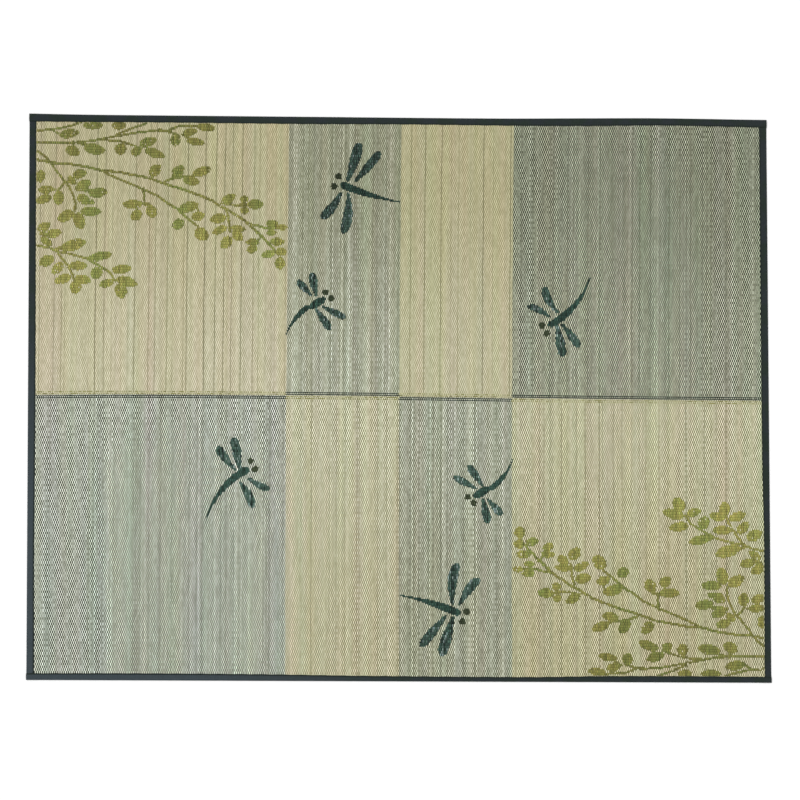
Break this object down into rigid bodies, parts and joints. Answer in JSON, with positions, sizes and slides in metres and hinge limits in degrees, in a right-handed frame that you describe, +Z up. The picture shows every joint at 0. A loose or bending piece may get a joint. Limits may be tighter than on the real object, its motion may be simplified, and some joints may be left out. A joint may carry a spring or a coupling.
{
  "type": "tatami mat",
  "caption": "Flat woven rush floor rug with a leaf and dragonfly pattern, joined along the middle and edged all round with folded cloth tape.",
  "frame": {"origin": "centre of the mat's outline, on the floor that it lies on", "axes": "+X along the long side and the middle seam, +Y along the rush stems towards the rear long edge, +Z up out of the mat's face"},
  "size_m": [2.5174, 1.91, 0.0044],
  "materials": {
    "rush_cloth": "woven rush, dry and slightly glossy, natural and blue-dyed blocks with dyed figures",
    "binding_tape": "matte woven cotton tape, very dark navy green",
    "sewing_thread": "twisted sewing thread, matte"
  },
  "bodies": {
    "root": {"panel_rear": "rush_cloth", "panel_front": "rush_cloth", "binding_rear": "binding_tape", "binding_front": "binding_tape", "binding_left": "binding_tape", "binding_right": "binding_tape"}
  },
  "joints": []
}
